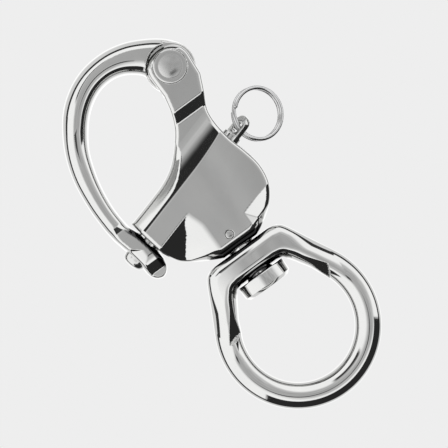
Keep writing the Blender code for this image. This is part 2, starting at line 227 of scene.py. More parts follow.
# Spring and ring.
SPRING_WIRE_RADIUS = 0.3
SPRING_MEAN_RADIUS = 2.72
SPRING_TURNS = 8
RING_WIRE_RADIUS = 0.47
RING_MEAN_RADIUS = 5.5
RING_PITCH = 1.0
RING_HEADING = math.radians(-3.0)
RING_SIDE_SLOPE = math.radians(10.5)
RING_DROOP = math.radians(23.0)
RING_START = -35.0
RING_CROSS_OVER = 50.0


# ---------------------------------------------------------------- plan curves

def arc(centre, radius, start, end, steps=40):
    """Points on a circle, with the angles in degrees."""
    angles = np.radians(np.linspace(start, end, steps + 1))
    return np.stack((centre[0] + radius * np.cos(angles),
                     centre[1] + radius * np.sin(angles)), 1)


def through(knots, steps=9):
    """A smooth open curve through the knots (Catmull-Rom)."""
    k = np.array(knots, float)
    k = np.vstack((2 * k[0] - k[1], k, 2 * k[-1] - k[-2]))
    t = (np.arange(steps) / steps)[:, None]
    parts = []
    for a, b, c, d in zip(k, k[1:], k[2:], k[3:]):
        parts.append(0.5 * (2 * b + (c - a) * t + (2 * a - 5 * b + 4 * c - d) * t ** 2
                            + (3 * b - a - 3 * c + d) * t ** 3))
    return np.vstack(parts + [k[-2:-1]])


class Outline:
    """Signed distance in plan to a closed outline, negative inside, off a fine grid."""

    STEP = 0.16
    MARGIN = 6.0

    def __init__(self, corners):
        corners = np.array(corners)
        self.low = corners.min(0) - self.MARGIN
        count = ((corners.max(0) + self.MARGIN - self.low) / self.STEP).astype(int) + 1
        x = self.low[0] + self.STEP * np.arange(count[0])[:, None]
        y = self.low[1] + self.STEP * np.arange(count[1])[None, :]
        nearest = np.full(count, 1e9)
        inside = np.zeros(count, bool)
        for (ax, ay), (bx, by) in zip(corners, np.roll(corners, -1, 0)):
            ex, ey = bx - ax, by - ay
            length = ex * ex + ey * ey
            if length < 1e-12:
                continue
            px, py = x - ax, y - ay
            t = np.clip((px * ex + py * ey) / length, 0, 1)
            nearest = np.minimum(nearest, (px - t * ex) ** 2 + (py - t * ey) ** 2)
            if ey != 0:
                spans = (ay > y) != (by > y)
                inside ^= spans & (px < py * ex / ey)
        self.grid = np.sqrt(nearest) * np.where(inside, -1, 1)

    def __call__(self, x, y):
        """Read with a cubic B-spline, which keeps the slope smooth."""
        total = 0
        rows = list(self.weights(x, self.low[0], self.grid.shape[0]))
        columns = list(self.weights(y, self.low[1], self.grid.shape[1]))
        for i, wx in rows:
            for j, wy in columns:
                total = total + self.grid[i, j] * (wx * wy)
        return total

    def weights(self, value, low, count):
        """Each neighbouring grid line and its share of the spline."""
        place = np.clip((value - low) / self.STEP, 1, count - 3)
        base = np.floor(place).astype(int)
        f = place - base
        yield base - 1, (1 - f) ** 3 / 6
        yield base, (3 * f ** 3 - 6 * f ** 2 + 4) / 6
        yield base + 1, (-3 * f ** 3 + 3 * f ** 2 + 3 * f + 1) / 6
        yield base + 2, f ** 3 / 6


# ------------------------------------------------------------ distance fields

def join(a, b, radius):
    """Union with a fillet."""
    h = np.clip(0.5 + 0.5 * (b - a) / radius, 0, 1)
    return b * (1 - h) + a * h - radius * h * (1 - h)


def common(a, b, radius):
    """Intersection with a rounded edge."""
    return -join(-a, -b, radius)


def higher(a, b, radius):
    """The higher of two heights, with a fillet in the valley between them."""
    return -join(-a, -b, radius)


def lower(a, b, radius):
    """The lower of two heights, with a rounded ridge between them."""
    return join(a, b, radius)


def rounded(side, top, radius):
    """Where a side wall and a top meet in an edge of that radius."""
    a, b = side + radius, top + radius
    return (np.hypot(np.maximum(a, 0), np.maximum(b, 0))
            + np.minimum(np.maximum(a, b), 0) - radius)


def ramp(value, low, high):
    """Smooth step from 0 at low to 1 at high."""
    t = np.clip((value - low) / (high - low), 0, 1)
    return t * t * (3 - 2 * t)


def disc(x, y, centre, radius):
    """Distance in plan to a round post's wall."""
    return np.hypot(x - centre[0], y - centre[1]) - radius


def in_plunger_frame(x, y):
    """Distance along the plunger from the barrel's mouth, and across it."""
    c, s = math.cos(PLUNGER_ANGLE), math.sin(PLUNGER_ANGLE)
    along = (x - MOUTH[0]) * c + (y - MOUTH[1]) * s
    across = -(x - MOUTH[0]) * s + (y - MOUTH[1]) * c
    return along, across


def pin_radius(along):
    """The pin tapers to its nose."""
    return PIN_RADIUS - PIN_TAPER * ramp(along, *PIN_TAPER_SPAN)


def plunger_bore(x, y, z, radius, start, end):
    """A round hole along the plunger's axis."""
    along, across = in_plunger_frame(x, y)
    return np.maximum(np.hypot(across, z) - radius,
                      np.maximum(start - along, along - end))


# ------------------------------------------------------------------- meshing

def gradient(field, points, reach=GRADIENT_REACH):
    """The field's slope by central differences."""
    slope = np.empty_like(points)
    for axis in range(3):
        step = np.zeros(3)
        step[axis] = reach
        slope[:, axis] = (field(*(points + step).T) - field(*(points - step).T)) / (2 * reach)
    return slope


def starting_points(values, cells):
    """The mean of the places where the surface crosses each cell's edges."""
    total = np.zeros(cells.shape)
    hits = np.zeros(len(cells))
    for corner in itertools.product((0, 1), repeat=3):
        for axis in range(3):
            if corner[axis]:
                continue
            a = np.array(corner)
            b = a.copy()
            b[axis] = 1
            va = values[tuple((cells + a).T)]
            vb = values[tuple((cells + b).T)]
            cross = (va < 0) != (vb < 0)
            place = np.repeat(a[None].astype(float), len(cells), 0)
            place[:, axis] = va / np.where(cross, va - vb, 1)
            total[cross] += place[cross]
            hits += cross
    return total / hits[:, None]


def cell_quads(inside, number):
    """A quad round each grid edge that the surface crosses, from the cells' numbers."""
    quads = []
    for axis in range(3):
        u, v = (axis + 1) % 3, (axis + 2) % 3
        near = [slice(1, -1)] * 3
        far = [slice(1, -1)] * 3
        near[axis] = slice(0, -1)
        far[axis] = slice(1, None)
        change = inside[tuple(near)] != inside[tuple(far)]
        at = np.argwhere(change)
        offset = np.array([1, 1, 1])
        offset[axis] = 0
        at = at + offset
        leaves = inside[tuple(at.T)]
        ring = []
        for du, dv in ((0, 0), (-1, 0), (-1, -1), (0, -1)):
            cell_at = at.copy()
            cell_at[:, u] += du
            cell_at[:, v] += dv
            ring.append(number[tuple(cell_at.T)])
        quad = np.stack(ring, 1)
        quad[~leaves] = quad[~leaves][:, ::-1]
        quads.append(quad)
    return np.vstack(quads)


def settled(field, points, cell):
    """The points moved onto the surface, by 0.7 of a cell at most along each axis."""
    start = points.copy()
    for _ in range(4):
        value = field(*points.T)
        slope = gradient(field, points)
        length = np.maximum((slope ** 2).sum(1), 1e-4)
        points = points - slope * (value / length)[:, None]
        points = start + np.clip(points - start, -0.7 * cell, 0.7 * cell)
    return points


def skin(field, low, high, cell=CELL):
    """Vertices, quads and normals of the field's zero surface (surface nets)."""
    axes = [np.arange(a - 2 * cell, b + 3 * cell, cell) for a, b in zip(low, high)]
    shape = tuple(len(a) for a in axes)
    values = field(axes[0][:, None, None], axes[1][None, :, None], axes[2][None, None, :])
    values = np.broadcast_to(values, shape)
    inside = values < 0
    count = np.zeros(tuple(n - 1 for n in shape), int)
    for corner in itertools.product((0, 1), repeat=3):
        count += inside[tuple(slice(c, n - 1 + c) for c, n in zip(corner, shape))]
    active = (count > 0) & (count < 8)
    cells = np.argwhere(active)
    number = np.zeros(active.shape, int)
    number[active] = np.arange(len(cells))
    points = (cells + starting_points(values, cells)) * cell + [a[0] for a in axes]
    points = settled(field, points, cell)
    normals = gradient(field, points)
    normals /= np.linalg.norm(normals, axis=1)[:, None]
    return points, cell_quads(inside, number), normals


def add_mesh(name, points, faces, material, body, replaced, normals=None,
             painted_shade=None):
    """A piece from points in millimetres, riding on a CAD body."""
    mesh = bpy.data.meshes.new(name)
    mesh.from_pydata((points - ORIGIN) * MM, [], faces)
    mesh.shade_smooth()
    if normals is None:
        mesh.set_sharp_from_angle(angle=math.radians(40))
    else:
        mesh.normals_split_custom_set_from_vertices(normals)
    # Painted shade: a per-point share of near-black colour, read by the steel material.
    if painted_shade is not None:
        painted_shade_layer = mesh.attributes.new("painted_shade", "FLOAT", "POINT")
        painted_shade_layer.data.foreach_set("value", painted_shade.astype(np.float32))
    mesh.materials.append(material)
    piece = bpy.data.objects.new(name, mesh)
    bpy.context.scene.collection.objects.link(piece)
    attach(piece, body)
    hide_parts(replaced)
    return piece


def tube(path, radius, sides=20):
    """Points and faces of a wire along a path, with domed ends."""
    path = np.array(path)
    ahead = np.gradient(path, axis=0)
    ahead /= np.linalg.norm(ahead, axis=1)[:, None]
    angles = 2 * np.pi * np.arange(sides) / sides
    rise = np.cross(ahead[0], (0.3, 0.5, 0.8))
    stations = []
    for point, way in zip(path, ahead):
        rise = rise - way * rise.dot(way)
        rise /= np.linalg.norm(rise)
        stations.append((point, way, rise, radius))
    first_rise = stations[0][2]
    for step in DOME_STEPS:
        fall = radius * math.sqrt(max(DOME_TIP, 1 - step * step))
        after = path[-1] + ahead[-1] * radius * step * DOME_LENGTH
        before = path[0] - ahead[0] * radius * step * DOME_LENGTH
        stations.append((after, ahead[-1], rise, fall))
        stations.insert(0, (before, ahead[0], first_rise, fall))
    rings = []
    for point, way, rise, width in stations:
        side = np.cross(way, rise)
        rings.append(point + width * (np.cos(angles)[:, None] * rise
                                      + np.sin(angles)[:, None] * side))
    return np.vstack(rings), lofted(len(rings), sides)


def lofted(rings, sides):
    """Faces between rings of points, with both ends closed."""
    faces = []
    for r in range(rings - 1):
        for k in range(sides):
            j = (k + 1) % sides
            faces.append((r * sides + k, r * sides + j,
                          (r + 1) * sides + j, (r + 1) * sides + k))
    faces.append(tuple(range(sides))[::-1])
    faces.append(tuple(range((rings - 1) * sides, rings * sides)))
    return faces


def turned(profile, sides=96):
    """Points and faces of a solid turned about X from (x, radius) pairs."""
    angles = 2 * np.pi * np.arange(sides) / sides
    rings = []
    for x, radius in profile:
        rings.append(np.stack((np.full(sides, x), radius * np.cos(angles),
                               radius * np.sin(angles)), 1))
    return np.vstack(rings), lofted(len(rings), sides)


def upright(points, centre):
    """Turn a solid about X into a post about Z that stands at centre."""
    return np.stack((centre[0] + points[:, 1], centre[1] + points[:, 2], points[:, 0]), 1)


def edge(x, radius, size, outward, steps=4):
    """A rounded rim in a profile: outward 1 ends the solid, -1 starts it."""
    angles = np.radians(np.linspace(0, 90, steps + 1))
    pairs = [(x - outward * size * (1 - math.sin(a)), radius - size * (1 - math.cos(a)))
             for a in angles]
    return pairs if outward > 0 else pairs[::-1]


# ------------------------------------------------------------------ materials

class Nodes:
    """Short names for making and linking nodes."""

    def __init__(self, tree):
        self.tree = tree

    def add(self, kind, inputs=(), **settings):
        """A node, with its settings, and a value or a link for each input."""
        node = self.tree.nodes.new(kind)
        for key, value in settings.items():
            setattr(node, key, value)
        for key, value in dict(inputs).items():
            if isinstance(value, bpy.types.NodeSocket):
                self.tree.links.new(value, node.inputs[key])
            else:
                node.inputs[key].default_value = value
        return node

    def math(self, operation, *values):
        """The result of one sum."""
        return self.add("ShaderNodeMath", enumerate(values), operation=operation).outputs[0]

    def band(self, value, low, high, soft):
        """1 between low and high, and 0 outside, with soft edges."""
        up = self.add("ShaderNodeMapRange", {"Value": value, "From Min": low - soft,
                                             "From Max": low + soft},
                      interpolation_type="SMOOTHSTEP").outputs[0]
        down = self.add("ShaderNodeMapRange", {"Value": value, "From Min": high - soft,
                                               "From Max": high + soft},
                        interpolation_type="SMOOTHSTEP").outputs[0]
        return self.math("SUBTRACT", up, down)

    def angle(self, opposite, adjacent):
        """The angle between two lengths at a right angle, in degrees."""
        return self.math("MULTIPLY", self.math("ARCTAN2", opposite, adjacent), 180 / math.pi)

    def aside(self, distance, scale):
        """The square of a distance in units of scale."""
        share = self.math("DIVIDE", distance, scale)
        return self.math("POWER", self.math("ABSOLUTE", share), 2.0)

    def blend(self, factor, a, b):
        """a where the factor is 0, and b where it is 1."""
        return self.add("ShaderNodeMix", {"Factor": factor, "A": a, "B": b}).outputs[0]


# Near black: painted shade for gaps and hollows between parts.
PAINTED_SHADE_COLOUR = (0.045, 0.045, 0.047)


def steel(name, colour, roughness, stretch, scratch, haze, waves):
    """Stainless steel with fine polishing lines, faint haze and a little colour drift.

    Where a mesh's shade attribute is 1, its colour is near black: painted shade for the gaps and
    hollows between parts.
    """
    material = bpy.data.materials.new(name)
    material.use_nodes = True
    n = Nodes(material.node_tree)
    shader = material.node_tree.nodes["Principled BSDF"]
    shader.inputs["Metallic"].default_value = 1.0
    place = n.add("ShaderNodeTexCoord").outputs["Object"]
    drawn = n.add("ShaderNodeMapping", {"Vector": place, "Scale": stretch}).outputs[0]
    lines = n.add("ShaderNodeTexNoise", {"Vector": drawn, "Scale": 900.0, "Detail": 5.0,
                                         "Roughness": 0.7}).outputs[0]
    patches = n.add("ShaderNodeTexNoise", {"Vector": place, "Scale": 120.0,
                                           "Detail": 4.0}).outputs[0]
    tint = n.add("ShaderNodeValToRGB", {"Fac": patches})
    dark = [c * 0.94 for c in colour]
    tint.color_ramp.elements[0].position = 0.3
    tint.color_ramp.elements[0].color = (dark[0], dark[1] * 1.004, dark[2] * 1.01, 1)
    tint.color_ramp.elements[1].position = 0.7
    tint.color_ramp.elements[1].color = (*colour, 1)
    # Painted shade: the colour goes near black where the mesh's attribute marks a gap between
    # parts.
    painted_shade = n.add("ShaderNodeAttribute", attribute_name="painted_shade").outputs["Fac"]
    painted_shade_mix = n.add("ShaderNodeMix", {"Factor": painted_shade, "A": tint.outputs[0],
                                        "B": (*PAINTED_SHADE_COLOUR, 1)}, data_type="RGBA")
    n.tree.links.new(painted_shade_mix.outputs["Result"], shader.inputs["Base Color"])
    gloss = n.add("ShaderNodeMapRange", {"Value": lines, "From Min": 0.3, "From Max": 0.75,
                                         "To Min": roughness * 0.8,
                                         "To Max": roughness * 1.25}).outputs[0]
    worn = n.add("ShaderNodeMapRange", {"Value": patches, "From Min": 0.45, "From Max": 0.75,
                                        "To Min": 0.0, "To Max": haze}).outputs[0]
    n.tree.links.new(n.math("ADD", gloss, worn), shader.inputs["Roughness"])
    swell = n.add("ShaderNodeTexNoise", {"Vector": place, "Scale": 260.0,
                                         "Detail": 1.0}).outputs[0]
    soft = n.add("ShaderNodeBump", {"Height": swell, "Strength": waves,
                                    "Distance": 0.00002}).outputs[0]
    bump = n.add("ShaderNodeBump", {"Height": lines, "Strength": scratch,
                                    "Distance": 0.00002, "Normal": soft}).outputs[0]
    n.tree.links.new(bump, shader.inputs["Normal"])
    return material


# ----------------------------------------------------------------------- body

def body_outline():
    """The body in plan: ear arc, hook side, barrel mouth, neck, ring side."""
    ear = arc(HINGE, EAR_RADIUS, 92, 268, 60)
    hook_side = through([(-55.5, 5.45), (-51.5, 4.5), (-48.2, 2.9), (-45.0, 0.2),
                         (-42.6, -2.6), (-41.0, -5.6), (-39.9, -9.0), (-38.15, -15.2)])
    mouth = [(-38.1, -15.85), (-29.3, -14.13)]
    neck_low = through([(-29.1, -14.1), (-27.2, -13.2), (-25.2, -11.8),
                        (-22.9, -8.4), (-21.6, -6.0), (NECK_FACE_X, -4.2)])
    ring_side = through([(NECK_FACE_X, 4.2), (-21.6, 6.1), (-23.3, 8.8),
                         (-25.5, 11.2), (-28.6, 12.9), (-32.5, 13.35),
                         (-36.5, 12.6), (-40.5, 11.5), (-44.5, 11.0),
                         (-48.0, 11.3), (-51.5, 13.0), (-55.0, 14.6)])
    return np.vstack((ear, hook_side, mouth, neck_low, ring_side))


def hook_side_facet():
    """A region whose edge is the hook side, for the bevel along it."""
    edge_line = through([(-62.0, 5.6), (-55.5, 5.45), (-51.5, 4.5), (-48.2, 2.9),
                         (-45.0, 0.2), (-42.6, -2.6), (-41.0, -5.6), (-39.9, -9.0),
                         (-38.15, -15.2), (-36.5, -22.0)])
    return np.vstack((edge_line, [(-12.0, -22.0), (-12.0, 26.0), (-62.0, 26.0)]))


class Body:
    """Heights over the mid-plane inside the outline, less the slot and the bores."""

    def __init__(self):
        self.outline = Outline(body_outline())
        self.hook_side = Outline(hook_side_facet())

    def barrel(self, x, y, plateau):
        """The barrel's top, with a slope down each side of it."""
        across = in_plunger_frame(x, y)[1]
        left = BODY_TOP + BARREL_LEFT_SLOPE * (across - BARREL_FLAT[0])
        right = BODY_TOP + BARREL_RIGHT_SLOPE * (BARREL_FLAT[1] - across)
        return lower(plateau, lower(left, right, 0.08), 0.08)

    def right_side(self, x, y, plateau):
        """The land that runs to the neck face, and the lobe beside it."""
        across = in_plunger_frame(x, y)[1]
        land_edge = LAND_Y[0] - LAND_SKEW * ramp(-x, *LAND_SKEW_LEFT)
        flank = lower(plateau, BODY_TOP + LAND_SLOPE * (y - land_edge), 1.2)
        out = x * math.cos(LOBE_CORNER_HEADING) + y * math.sin(LOBE_CORNER_HEADING)
        corner = BODY_TOP - LOBE_CORNER_SLOPE * (out - LOBE_CORNER_START)
        corner = higher(corner, BODY_TOP + LAND_SLOPE * (LAND_Y[1] - y), 0.1)
        return lower(flank, corner, 0.04) - LAND_FADE * ramp(-across, *LAND_FADE_ACROSS)

    def height(self, x, y):
        """The top over the mid-plane: barrel, neck, land, ear, then the hook side's bevel."""
        across = in_plunger_frame(x, y)[1]
        plateau = BODY_TOP - BODY_CROWN * np.maximum(y - BODY_CROWN_START_Y, 0) ** 2
        neck = NECK_HALF - NECK_DIP * ramp(across, *NECK_DIP_ACROSS)
        top = higher(self.barrel(x, y, plateau), neck, 0.9)
        top = np.maximum(top, self.right_side(x, y, plateau))
        ear = lower(EAR_HALF, EAR_HALF - EAR_STEP_SLOPE * (x - EAR_END_X), 0.1)
        top = higher(top, ear, 0.12)
        bevel_foot = BEVEL_FOOT + BEVEL_FOOT_RISE * ramp(-x, *BEVEL_RISE_LEFT)
        bevel = bevel_foot - self.hook_side(x, y)
        return lower(top, np.maximum(bevel, BEVEL_FLOOR), 0.12)

    def __call__(self, x, y, z):
        """The rounded solid less the ear's slot, the pin holes and the bores."""
        rim = EAR_RIM + NECK_RIM_EXTRA * ramp(x, *NECK_RIM_X)
        solid = rounded(self.outline(x, y), (np.abs(z) - self.height(x, y)) * 0.9, rim)
        slot = common(disc(x, y, HINGE, SLOT_RADIUS), np.abs(z) - SLOT_HALF, 0.1)
        open_end = common(common(x - HINGE[0], np.abs(z) - SLOT_HALF, 0.1),
                          -y + SLOT_OPEN_Y, 0.1)
        slot = np.minimum(slot, open_end)
        solid = common(solid, -slot, 0.3)
        floor = RIVET_TOP - RIVET_SEAT_DEPTH
        seat = np.maximum(disc(x, y, HINGE, RIVET_HEAD_RADIUS + RIVET_SEAT_GAP), floor - np.abs(z))
        holes = np.minimum(seat, disc(x, y, HINGE, RIVET_RADIUS + RIVET_GAP))
        holes = np.minimum(holes, disc(x, y, LOCK_PIN, LOCK_PIN_RADIUS + LOCK_PIN_GAP))
        solid = common(solid, -holes, 0.12)
        chamber = plunger_bore(x, y, z, PIN_RADIUS + PIN_GAP, CHAMBER_END, 3)
        rod = plunger_bore(x, y, z, ROD_RADIUS + ROD_GAP, -40, CHAMBER_END + 1)
        bores = np.minimum(chamber, rod)
        stud = np.maximum(np.hypot(y, z) - STUD_RADIUS - STUD_GAP_IN_BODY,
                          STUD_END_X - STUD_END_GAP - x)
        return common(solid, -np.minimum(bores, stud), 0.25)


def make_body(material):
    """The forged body, with painted shade on its neck face, where the bail's boss meets it."""
    points, quads, normals = skin(Body(), (-65.0, -17.0, -5.6), (-20.0, 15.6, 5.6))
    add_mesh("forged_body", points, quads, material, "shackle_body", "body",
             normals, ramp(points[:, 0], *BODY_PAINTED_SHADE_X))


# ------------------------------------------------------------------------ arm

def arm_outer():
    """What the arm's outer edge encloses, closed well clear of the arm."""
    edge_line = through([(-50.0, 13.0), (-55.0, 14.9), (-58.5, 15.7), (-62.2, 15.2),
                         (-64.2, 14.1), (-66.2, 12.1), (-68.1, 9.3),
                         (-69.9, 5.6), (-70.9, 1.6), (-71.0, -2.4), (-70.3, -6.2),
                         (-68.6, -10.0), (-65.8, -13.6), (-61.9, -16.6), (-57.3, -19.0),
                         (-52.0, -20.6), (-46.0, -21.3), (-41.0, -21.3), (-37.5, -21.0),
                         (-34.3, -20.3), (-30.0, -19.6), (-27.3, -19.3), (-25.7, -18.5),
                         (-25.0, -17.1), (-25.4, -15.9), (-26.5, -15.0), (-28.2, -14.5)])
    return np.vstack((edge_line, [(-28.2, 13.0)]))


def hook_opening():
    """The open space that the arm's inner edge encloses, closed clear of the arm."""
    edge_line = through([(-18.0, -13.6), (-24.0, -14.3), (-28.2, -14.55), (-31.0, -14.75),
                         (-34.8, -15.5), (-36.5, -16.1), (-38.3, -16.7),
                         (-42.5, -17.0), (-47.0, -16.6),
                         (-51.5, -15.6), (-56.0, -13.9), (-60.0, -11.2), (-62.8, -8.3),
                         (-64.6, -5.0), (-65.1, -1.8), (-64.6, 0.9), (-63.3, 3.1),
                         (-61.6, 4.75), (-58.5, 5.6), (-55.0, 5.2), (-50.0, 4.0)])
    return np.vstack((edge_line, [(-18.0, 4.0)]))


def shoulder_cut():
    """What each ear takes out of the arm: its round end, past the shoulder."""
    ear = arc(HINGE, EAR_RADIUS + SEAM, SHOULDER_ANGLE, HEEL_ANGLE, 40)
    far = arc(HINGE, 3 * EAR_RADIUS, SHOULDER_ANGLE, SHOULDER_ANGLE, 1)[:1]
    return np.vstack((ear, [(-50.0, 2.0), (-50.0, 28.0)], far))


class Arm:
    """A curved bar of rounded section with a tongue at one end and a lug at the other."""

    def __init__(self):
        self.outer = Outline(arm_outer())
        self.opening = Outline(hook_opening())
        self.shoulder = Outline(shoulder_cut())

    def taper(self, x, y):
        """0 by the knuckle, 1 from the middle of the bend to the tail."""
        start, end = ARM_TAPER_X
        share = np.clip((x - start) / (end - start), 0, 1) * np.clip(-y / 6, 0, 1)
        return np.sin(share * np.pi / 2)

    def half_thickness(self, x, y):
        """The bar's, rising to the lug, which steps down and rounds off to its end.

        The dome that rounds off the lug is level left of LUG_DOME_X. So it also keeps the
        whole bar within LUG_HALF - LUG_DOME_DROP, which is less than ARM_KNUCKLE_HALF.
        """
        bar = ARM_KNUCKLE_HALF + (ARM_TAIL_HALF - ARM_KNUCKLE_HALF) * self.taper(x, y)
        away = LUG_SIDE_DROP * (1 - ramp(-y, *LUG_BELOW))
        rise = lower(LUG_HALF - away, LUG_HALF + LUG_RISE_SLOPE * (x - LUG_RISE_X) - away, 0.05)
        out = ((x - LUG_STEP[0]) * math.cos(LUG_STEP_HEADING)
               + (y - LUG_STEP[1]) * math.sin(LUG_STEP_HEADING))
        flank = LUG_HALF - LUG_STEP_DROP + LUG_FLANK_SLOPE * (y - LUG_FLANK_Y)
        step = higher(flank, LUG_HALF - LUG_STEP_SLOPE * out, 0.05)
        fall = np.maximum(LUG_DOME_RADIUS ** 2 - np.maximum(x - LUG_DOME_X, 0) ** 2, 0.01)
        dome = LUG_HALF - LUG_DOME_DROP - LUG_DOME_RADIUS + np.sqrt(fall)
        ledge = LUG_LEDGE_HALF - LUG_LEDGE_SLOPE * np.maximum(x - LUG_LEDGE_X, 0)
        dome = np.maximum(dome, ledge)
        return lower(lower(higher(bar, rise, 0.05), step, 0.05), dome, 0.05)

    def bar(self, x, y, z):
        """The section across the bar, squarer on its inner side, with the lug's edge cut."""
        from_outer = -self.outer(x, y)
        from_inner = self.opening(x, y)
        width = np.maximum(from_outer + from_inner, 1.0)
        taper = self.taper(x, y)
        in_lug = ramp(x, *LUG_X) * ramp(-y, *LUG_BELOW)
        rounding = ARM_ROUNDING[0] + (ARM_ROUNDING[1] - ARM_ROUNDING[0]) * taper
        at_end = ramp(x, *LUG_END_X) * ramp(-y, *LUG_BELOW)
        outer_reach = (np.minimum(width / 2, rounding) * (1 - LUG_OUTER_SHARPNESS * in_lug)
                       * (1 - LUG_END_SHARPNESS * at_end))
        inner_reach = (np.minimum(width / 2, ARM_ROUNDING[1])
                       * (1 - LUG_INNER_SHARPNESS * in_lug))
        outer_power = (ARM_OUTER_SQUARENESS[0]
                       + (ARM_OUTER_SQUARENESS[1] - ARM_OUTER_SQUARENESS[0]) * taper)
        outer_aside = np.maximum(1 - from_outer / outer_reach, 0)
        inner_aside = np.maximum(1 - from_inner / inner_reach, 0)
        on_outer = outer_aside > inner_aside
        aside = np.where(on_outer, outer_aside, inner_aside)
        power = np.where(on_outer, outer_power, ARM_INNER_SQUARENESS)
        up = np.abs(z) / self.half_thickness(x, y)
        section = ((aside ** power + up ** power) ** (1 / power) - 1) * ARM_SECTION_SCALE
        edge_half = LUG_EDGE_HALF + LUG_EDGE_LIFT * ramp(-x, *LUG_EDGE_LEFT)
        chamfer = (np.abs(z) - edge_half - LUG_EDGE_SLOPE * from_inner) * 0.64
        return np.where(y < -12, common(section, chamfer, 0.06), section)

    def __call__(self, x, y, z):
        """The bar and the tongue, less the ears' relief, the pin's hole and the rivet's."""
        bar = common(self.bar(x, y, z), np.minimum(x - HINGE[0], y), 0.2)
        tongue = rounded(disc(x, y, HINGE, TONGUE_RADIUS), np.abs(z) - TONGUE_HALF, 0.3)
        relief = np.maximum(self.shoulder(x, y), TONGUE_HALF - np.abs(z))
        solid = common(bar, -relief, 0.25)
        solid = join(solid, tongue, 0.2)
        along = in_plunger_frame(x, y)[0]
        keep = plunger_bore(x, y, z, pin_radius(along) + PIN_GAP, -1, 9)
        solid = common(solid, -keep, 0.15)
        return common(solid, -disc(x, y, HINGE, RIVET_RADIUS + RIVET_GAP), 0.1)


def make_arm(material):
    """The arm, with painted shade along the lug's inner edge."""
    arm = Arm()
    points, quads, normals = skin(arm, (-71.2, -21.7, -5.0), (-25.0, 15.8, 5.0))
    x, y, _ = points.T
    # Painted shade: near black in a band along the lug's inner edge.
    painted_shade = (ramp(-arm.opening(x, y), -LUG_EDGE_WIDTH - LUG_PAINTED_SHADE_SOFT,
                   -LUG_EDGE_WIDTH + LUG_PAINTED_SHADE_SOFT)
              * ramp(x, *LUG_PAINTED_SHADE_X) * ramp(-x, *LUG_PAINTED_SHADE_LEFT)
              * ramp(-y, *LUG_PAINTED_SHADE_BELOW))
    add_mesh("curved_arm", points, quads, material, "hinged_arm", "arm",
             normals, painted_shade)


# ----------------------------------------------------------------------- bail

def bail_outer():
    """The bail's outer edge: a round eye running straight to square shoulders."""
    radius = BAIL_RADIUS + BAIL_WIRE_RADIUS
    ring = arc((0, 0), radius, -BAIL_TANGENT_ANGLE, BAIL_TANGENT_ANGLE, 120)
    shoulder = through([(-15.5, 11.9), (-18.7, 10.2), (-19.9, 9.0), (-20.45, 7.0)], 10)
    mirrored = shoulder[::-1] * (1, -1)
    return np.vstack((ring, shoulder, mirrored))


def bail_inner():
    """The bail's opening: round, running straight to the boss's flat."""
    radius = BAIL_RADIUS - BAIL_WIRE_RADIUS
    ring = arc((0, 0), radius, -BAIL_TANGENT_ANGLE, BAIL_TANGENT_ANGLE, 120)
    corner = through([(-8.5, 9.3), (-12.0, 7.1), (-13.0, 6.4), (-13.7, 5.85),
                      (-14.05, 4.6)], 10)
    mirrored = corner[::-1] * (1, -1)
    return np.vstack((ring, corner, mirrored))


class Bail:
    """A round wire eye that thickens into a bored boss."""

    def __init__(self):
        self.outer = Outline(bail_outer())
        self.inner = Outline(bail_inner())

    def facet_slant(self, y):
        """How far each limb's facet runs on past its end, on a slant of its own."""
        low, high = BAIL_FACET_LOWER_Y
        upper = BAIL_FACET_UPPER_SLANT * (BAIL_FACET_UPPER_Y - y)
        lower_limb = BAIL_FACET_LOWER_SLANT * (np.clip(-y, low, high) - high)
        return np.where(y > 0, upper, lower_limb)

    def facet(self, x, y, z, half):
        """The flat ground on each limb, lifted clear past its end and in the middle."""
        out = (x * math.cos(BAIL_FACET_HEADING)
               + np.abs(y) * math.sin(BAIL_FACET_HEADING) - BAIL_FACET_START)
        out = np.minimum(out, BAIL_FACET_REACH)
        past_end = x - BAIL_FACET_END_X - self.facet_slant(y)
        start, middle, end = BAIL_FACET_FADE
        clear = (3 * ramp(past_end, start, middle) + 6 * ramp(past_end, middle, end)
                 + 8 * ramp(-np.abs(y), *BAIL_FACET_MIDDLE))
        foot = BAIL_FACET_FOOT + 0.6 * half + clear
        return (np.abs(z) - foot + BAIL_FACET_SLOPE * out) * 0.73

    def __call__(self, x, y, z):
        """The wire's round section, the boss, the facets and the stud's bore."""
        from_outer = -self.outer(x, y)
        from_inner = self.inner(x, y)
        half_width = np.maximum((from_outer + from_inner) / 2, 0.5)
        depth = np.minimum(from_outer, from_inner)
        boss = ramp(-x, *BAIL_BOSS_LEFT)
        bulge = (1 - (y / BAIL_RADIUS) ** 2) * ramp(-x, *BAIL_BULGE_LEFT)
        half = BAIL_WIRE_RADIUS + (BAIL_BOSS_HALF - BAIL_WIRE_RADIUS) * np.maximum(bulge, 0)
        reach = half_width + (np.minimum(half_width, BAIL_BOSS_ROUNDING) - half_width) * boss
        rise = half + (BAIL_BOSS_ROUNDING - half) * boss
        aside = np.maximum(1 - depth / reach, 0)
        up = np.maximum(np.abs(z) - (half - rise), 0) / rise
        limb = ramp(-x, *BAIL_LIMB_LEFT) * (1 - boss)
        power = np.where(from_outer < from_inner, 2 - BAIL_LIMB_SOFTNESS * limb, 2.0)
        solid = ((aside ** power + up ** power) ** (1 / power) - 1) * BAIL_WIRE_RADIUS
        solid = common(solid, self.facet(x, y, z, half), 0.08)
        bore = np.maximum(np.hypot(y, z) - STUD_RADIUS - STUD_GAP_IN_BAIL, x)
        return common(solid, -bore, 0.25)


